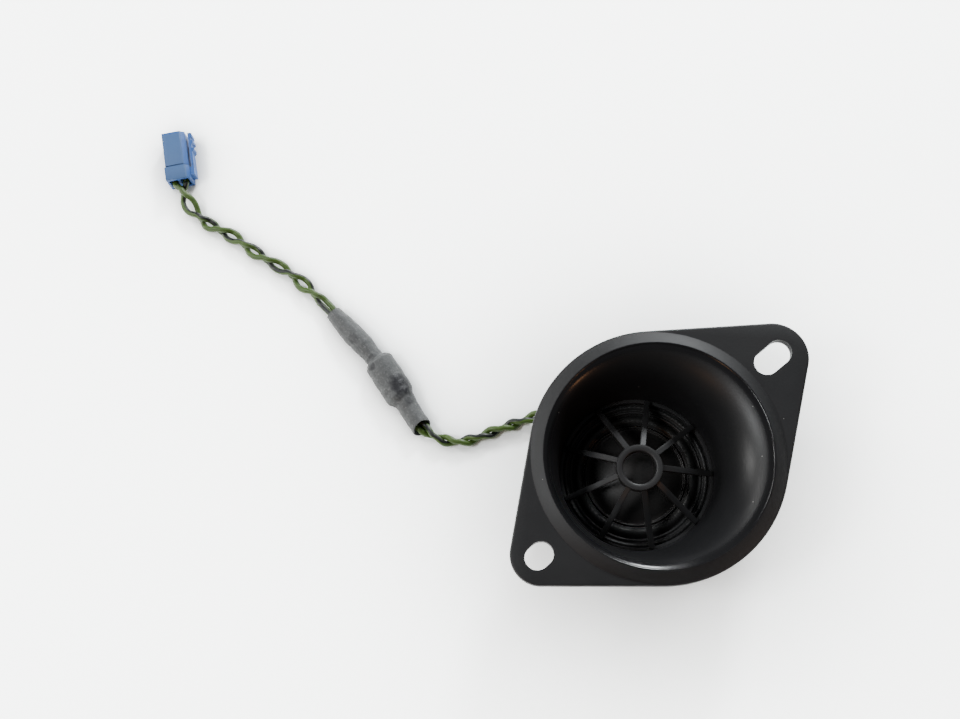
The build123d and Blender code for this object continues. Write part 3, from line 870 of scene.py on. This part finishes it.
def black_plastic(name, base, lift, rough, grain_size, grain_depth, dust=1.0):
    """Black moulded plastic: fine grain, uneven sheen, faint rubbing and a few dust specks."""
    f = Finish(name, Specular_IOR_Level=0.23)
    cloud = f.grain(9 * MM, 4.0)
    fine = f.grain(grain_size, 3.0, rough=0.6)
    rub = f.grain(1.4 * MM, 6.0, rough=0.75).above(0.60, 0.78)
    shade = f.blend(cloud, base, lift)
    shade = f.blend(rub * 0.30, shade, [c * 2.2 for c in lift])
    spacing = 1 / (2.6 * MM)
    cells = f.node("TexVoronoi", {}, {"Vector": f.place(), "Scale": spacing}, out="Distance")
    lone = f.node("TexVoronoi", {}, {"Vector": f.place(), "Scale": spacing}, out="Color")
    pick = f.parts(lone)[0].above(0.72, 0.76)
    fleck = (1 - cells.above(0.030, 0.055)) * pick * dust
    shade = f.blend(fleck * 0.8, shade, (0.12, 0.12, 0.115))
    f.feed("Base Color", shade)
    f.feed("Roughness", rough + cloud * 0.10 + rub * 0.10 + fleck * 0.3)
    f.bump(fine + cloud * 0.2, grain_depth)
    return f


shell_black = black_plastic(
    "housing_black", (0.0040, 0.0041, 0.0046), (0.0064, 0.0065, 0.0070),
    0.42, 0.30 * MM, 0.016 * MM,
)
# The mouth's crisp edge is polished and the flat flange is duller. A paler band on the flange's
# top bevel, broken by noise, is a painted highlight along its rim.
sx, sy, sz = shell_black.parts(shell_black.place())
from_axis = ((sx - MOUTH[0] * MM) ** 2 + (sy - MOUTH[1] * MM) ** 2).math("SQRT")
housing_tone = Signal(shell_black, shell_black.shader.inputs["Base Color"].links[0].from_socket)
near_mouth = 1 - (from_axis - 21.7 * MM).math("ABSOLUTE").above(0.5 * MM, 1.6 * MM)
polished = near_mouth * sz.above(24.6 * MM, 25.4 * MM)
flat_top = from_axis.above(21.9 * MM, 22.3 * MM)
shell_rub = shell_black.grain(1.4 * MM, 6.0, rough=0.75).above(0.60, 0.78)
shell_sheen = shell_black.grain(9 * MM, 4.0) * 0.10 + shell_rub * 0.10
gloss = polished * (1 - flat_top) * 0.21
shell_black.feed("Roughness", 0.36 + shell_sheen + flat_top * 0.12 - gloss)
# Painted highlight: the band over the flange's rounded top edge, lightened in patches.
edge = sz.above(24.50 * MM, 24.66 * MM) * (1 - sz.above(24.88 * MM, 24.97 * MM)) * flat_top
edge_painted_highlight = edge * shell_black.grain(1.2 * MM, 4.0).above(0.34, 0.60)
black_with_edge_highlight = shell_black.blend(edge_painted_highlight * 0.55, housing_tone, (0.050, 0.050, 0.052))
shell_black.feed("Base Color", black_with_edge_highlight)
housing.data.materials.append(shell_black.material)
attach(housing, "housing")
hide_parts("horn_housing")


# ---------------------------------------------------------------- guard
# Nine spokes that slope down from a raised hub ring to a foot ring pressed into the throat.
# The same black plastic as the housing, with softened edges, but its base colour is painted paler:
# painted light for the lit hub and spokes.

SPOKES, FIRST_SPOKE = 9, 90
SPOKE_IN, SPOKE_OUT = 4.1, 15.25
SPOKE_HALF, SPOKE_DEEP, SPOKE_TOP, SPOKE_FALL = 0.60, 1.9, 19.68, 7.15
SPOKE_TAPER_FROM, SPOKE_TAPER = 19.0, 0.72
hub_profile = [
    (3.22, 18.4), (3.22, 19.46), (3.27, 19.66), (3.38, 19.79), (3.56, 19.86), (3.9, 19.90),
    (4.28, 19.90), (4.46, 19.86), (4.57, 19.75), (4.62, 19.56), (4.62, 18.4), (4.50, 18.22),
    (3.34, 18.22), (3.22, 18.4),
]
foot_profile = [
    (14.75, 10.95), (14.75, 11.85), (14.85, 11.98), (15.3, 12.0), (15.48, 11.95), (15.48, 10.95),
    (14.75, 10.95),
]


def turned(name, outline, sides, close=True, poles=()):
    """A ring round the driver's axis, from an outline of (radius, z)."""
    return ring_stack(name, [(*DRIVER, z, r) for r, z in outline], sides, close, poles)


hub = turned("hub", hub_profile, 72)
guard = turned("guard", foot_profile, 144)
for i in range(SPOKES):
    spoke = block(SPOKE_IN, SPOKE_OUT, -SPOKE_HALF, SPOKE_HALF, -SPOKE_DEEP, 0.0)
    for v in spoke.data.vertices:
        drop = 0.02 - (v.co.x / MM - SPOKE_IN) / (SPOKE_OUT - SPOKE_IN) * SPOKE_FALL
        v.co.z += (SPOKE_TOP + drop) * MM
        if v.co.z < (SPOKE_TAPER_FROM + drop) * MM:
            v.co.y *= SPOKE_TAPER
    bevel_where(spoke, lambda m, d: abs(d.x) > 0.5, 0.13, 3)
    angle = radians(FIRST_SPOKE + 360 / SPOKES * i)
    settle(spoke, driver_place @ Matrix.Rotation(angle, 4, "Z"))
    guard = combine(guard, spoke, "UNION")
guard = combine(guard, hub, "UNION")
guard.name = guard.data.name = "guard_spokes"
smooth(guard, 30)
# Painted light: base colours about twice the housing's, so the hub and spokes read lit.
guard_black_painted_paler = black_plastic(
    "guard_black_painted_paler", (0.0085, 0.0085, 0.0090), (0.0135, 0.0135, 0.0140),
    0.40, 0.22 * MM, 0.010 * MM, dust=0.5,
)
guard.data.materials.append(guard_black_painted_paler.material)
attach(guard, "housing")
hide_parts("dome_guard")


# ---------------------------------------------------------------- clamp ring
# Ring under the guard that holds the surround's edge: two round beads and an outer band of fine
# serrations, moulded in glossier black.

SERRATIONS, SERRATION_HIGH = 96, 0.16
clamp_profile = [
    (12.88, 9.62), (12.88, 10.05), (12.98, 10.26), (13.16, 10.34), (13.36, 10.26), (13.46, 10.06),
    (13.56, 10.02), (13.70, 10.06), (13.80, 10.36), (13.98, 10.62), (14.20, 10.70), (14.44, 10.62),
    (14.60, 10.40), (14.72, 10.34), (15.40, 10.34), (15.44, 10.2), (15.44, 9.62), (12.88, 9.62),
]


def round_axis(v):
    """A vertex's radius in millimetres and its angle, round the driver's axis."""
    x, y = v.co.x / MM - DRIVER[0], v.co.y / MM - DRIVER[1]
    return hypot(x, y), atan2(y, x)


clamp = turned("clamp_ring", clamp_profile, 288)
for v in clamp.data.vertices:
    r, a = round_axis(v)
    if 13.75 < r < 14.65 and v.co.z > 10.3 * MM:
        ridge = max(0.0, cos(a * SERRATIONS)) * (1 - abs(r - 14.2) / 0.5)
        v.co.z += SERRATION_HIGH * MM * ridge
smooth(clamp, 60)
# The base colour is paler than the housing's black: partly the ring's own black, partly painted
# light for the glints on its serrated ridges.
clamp_black_partly_painted = black_plastic(
    "clamp_black_partly_painted", (0.0105, 0.0105, 0.0107), (0.0160, 0.0160, 0.0162),
    0.42, 0.5 * MM, 0.006 * MM, dust=0.5,
)
clamp.data.materials.append(clamp_black_partly_painted.material)
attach(clamp, "housing")
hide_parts("surround_clamp_ring")


# ---------------------------------------------------------------- surround
# Coated cloth pressed into one main roll with a fine inner bead, so the dome can travel. Its
# flat edge lies under the clamp ring.

PLEATS, PLEAT_HIGH = 72, 0.035
roll_profile = [
    (15.28, 9.30), (15.28, 9.60), (12.95, 9.60), (12.72, 9.62), (12.55, 9.74), (12.32, 10.06),
    (12.05, 10.32), (11.75, 10.46), (11.45, 10.48), (11.15, 10.38), (10.92, 10.20), (10.74, 9.98),
    (10.60, 9.84), (10.50, 9.80), (10.48, 9.68), (10.62, 9.64), (10.85, 9.80), (11.1, 10.04),
    (11.5, 10.22), (12.0, 10.06), (12.4, 9.6), (12.7, 9.30), (15.28, 9.30),
]
surround = turned("surround_roll", roll_profile, 216)
for v in surround.data.vertices:
    r, a = round_axis(v)
    if 11.0 < r < 12.3 and v.co.z > 10.15 * MM:
        v.co.z += PLEAT_HIGH * MM * cos(a * PLEATS)
smooth(surround, 60)


def coated_cloth(name, base, lift, rough, thread, depth):
    """Woven cloth under a satin coating: the weave only just shows."""
    f = Finish(name, Coat_Roughness=0.30, Coat_Weight=0.05, Specular_IOR_Level=0.26)
    x, y = f.parts(f.place())[:2]
    warp = (x * (2 * pi / thread)).math("SINE")
    weft = (y * (2 * pi / thread)).math("SINE")
    cloud = f.grain(3 * MM, 4.0)
    fuzz = f.grain(0.4 * MM, 4.0, rough=0.7)
    f.feed("Base Color", f.blend(cloud * 0.6 + fuzz * 0.4, base, lift))
    f.feed("Roughness", rough + fuzz * 0.10 + cloud * 0.06)
    f.bump(warp * weft * 0.5 + 0.5 + fuzz * 0.5, depth)
    return f


surround_cloth = coated_cloth(
    "surround_cloth", (0.0070, 0.0070, 0.0070), (0.0110, 0.0108, 0.0108),
    0.40, 0.34 * MM, 0.006 * MM,
)
surround.data.materials.append(surround_cloth.material)
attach(surround, "housing")
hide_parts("surround")


# ---------------------------------------------------------------- dome
# Silk pressed to a dome, coated and faintly glossy. Its narrow rolled rim is glued to the coil's
# former, and it moves with the coil.

DOME_R, DOME_RISE, DOME_Z, DOME_STEPS, DOME_WALL = 9.6, 3.3, 9.6, 18, 0.25
ball = (DOME_R ** 2 + DOME_RISE ** 2) / (2 * DOME_RISE)
dome_profile = [
    (10.38, 9.18), (10.38, 9.50), (10.32, 9.84), (10.20, 9.98), (10.04, 9.99), (9.90, 9.88),
    (9.82, 9.70), (9.74, 9.63), (9.66, 9.62),
]
for i in range(DOME_STEPS + 1):
    r = max(DOME_R * (1 - (i / DOME_STEPS) ** 0.9), 0.02)
    dome_profile.append((r, DOME_Z + 0.02 + (ball ** 2 - r ** 2) ** 0.5 - (ball - DOME_RISE)))
dome = turned("dome_cap", dome_profile, 144, close=False, poles=(-1,))
apply(dome, "SOLIDIFY", thickness=DOME_WALL * MM, offset=-1)
smooth(dome, 60)
dome_silk = coated_cloth(
    "dome_silk", (0.0076, 0.0069, 0.0067), (0.0120, 0.0110, 0.0107), 0.42, 0.30 * MM, 0.004 * MM,
)
dome.data.materials.append(dome_silk.material)
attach(dome, "diaphragm")
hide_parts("dome")


# ---------------------------------------------------------------- coil and motor
# Inside the skirt: polyimide former with its copper coil, nickelled magnet and zinc-plated cup
# and pole, a felt disc, the chassis ring, and two fine copper braids.

amber = Finish("former_film", Roughness=0.25)
amber_tone = amber.grain(2 * MM, 3.0)
amber.feed("Base Color", amber.blend(amber_tone, (0.36, 0.15, 0.03), (0.50, 0.24, 0.06)))
copper = metal("coil_copper", (0.72, 0.32, 0.16), (0.50, 0.20, 0.09), 0.25)
wound = (copper.parts(copper.place())[2] * (2 * pi / (0.2 * MM))).math("SINE")
copper.bump(wound * 0.5 + 0.5, 0.04 * MM)
zinc = metal("zinc_steel", (0.60, 0.61, 0.60), (0.46, 0.46, 0.44), 0.30)
nickel = metal("magnet_nickel", (0.66, 0.64, 0.60), (0.55, 0.53, 0.49), 0.16)
felt = Finish("damping_felt", Roughness=0.95)
hair = felt.grain(0.35 * MM, 6.0, rough=0.75)
felt.feed("Base Color", felt.blend(hair, (0.09, 0.09, 0.095), (0.24, 0.24, 0.25)))
felt.bump(hair, 0.15 * MM)
chassis_black = black_plastic(
    "chassis_black", (0.0050, 0.0050, 0.0054), (0.0080, 0.0080, 0.0084),
    0.45, 0.4 * MM, 0.02 * MM, dust=0.3,
)
braid = metal("braid_copper", (0.66, 0.34, 0.18), (0.50, 0.24, 0.12), 0.35, 3.0)
for node, finish in (
    ("coil_former", amber), ("voice_coil", copper), ("yoke_cup", zinc), ("pole_plate", zinc),
    ("magnet", nickel), ("damping_felt", felt), ("driver_chassis", chassis_black),
    ("coil_braids", braid),
):
    dress(node, finish)


# ---------------------------------------------------------------- rear cover
# Flat lid that closes the skirt, with a shallow round recess and a softened rim. The tweeter
# stands on it.

cover_profile = [
    (0.05, 0.30), (11.2, 0.30), (11.35, 0.26), (11.6, 0.05), (11.75, 0.0), (16.45, 0.0),
    (16.7, 0.06), (16.92, 0.24), (17.0, 0.5), (17.0, 1.9), (16.9, 2.0), (15.38, 2.0),
    (15.38, 3.35), (15.3, 3.4), (14.7, 3.4), (14.62, 3.3), (14.62, 2.0), (0.05, 2.0),
]
cover = turned("rear_lid", cover_profile, 128, close=False)
bpy.ops.object.mode_set(mode="EDIT")
bpy.ops.mesh.select_all(action="SELECT")
bpy.ops.mesh.fill_holes(sides=0)
bpy.ops.mesh.normals_make_consistent(inside=False)
bpy.ops.object.mode_set(mode="OBJECT")
smooth(cover, 30)
cover_black = black_plastic(
    "cover_black", (0.0046, 0.0046, 0.0050), (0.0074, 0.0074, 0.0080),
    0.46, 0.45 * MM, 0.03 * MM, dust=0.4,
)
cover.data.materials.append(cover_black.material)
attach(cover, "housing")
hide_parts("rear_cover")


# ---------------------------------------------------------------- terminals and lead clip
# Brown laminate board riveted beside the skirt with two tinned tags, the wires' soldered ends,
# and a hooked black clip that holds the lead.

def softened(node, name, width):
    """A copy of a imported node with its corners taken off."""
    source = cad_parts[node]
    piece = bpy.data.objects.new(name, source.data.copy())
    piece.data.name = name
    bpy.context.scene.collection.objects.link(piece)
    take(piece)
    bpy.ops.object.mode_set(mode="EDIT")
    bpy.ops.mesh.select_all(action="SELECT")
    bpy.ops.mesh.remove_doubles(threshold=0.001 * MM)
    bpy.ops.mesh.dissolve_limited(angle_limit=radians(1))
    bpy.ops.object.mode_set(mode="OBJECT")
    corners = {"limit_method": "ANGLE", "angle_limit": radians(40)}
    apply(piece, "BEVEL", width=width * MM, segments=2, **corners)
    smooth(piece, 35)
    piece.data.materials.clear()
    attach(piece, "housing")
    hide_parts(node)
    return piece


laminate = Finish("board_phenolic")
weave_z = laminate.parts(laminate.place())[2]
layers = laminate.grain(0.5 * MM, 5.0, rough=0.7)
laminate.feed("Base Color", laminate.blend(layers, (0.060, 0.026, 0.010), (0.110, 0.052, 0.021)))
laminate.feed("Roughness", 0.40 + layers * 0.18)
laminate.bump((weave_z * (2 * pi / (0.35 * MM))).math("SINE") * 0.3 + layers, 0.02 * MM)
board = softened("terminal_board", "terminal_card", 0.10)
board.data.materials.append(laminate.material)
clip = softened("lead_clip", "lead_hook", 0.16)
# The hook shares the clamp ring's black, whose paler base is partly painted light.
clip.data.materials.append(clamp_black_partly_painted.material)
for node in ("terminal_plus", "terminal_minus"):
    tag = softened(node, node + "_tag", 0.06)
    tag.data.materials.append(tinned.material)
rivets = softened("terminal_rivets", "rivet_heads", 0.09)
rivets.data.materials.append(tinned.material)
solder = metal("solder_dull", (0.66, 0.66, 0.65), (0.48, 0.48, 0.47), 0.22, 4.0)
dress("solder_joints", solder)
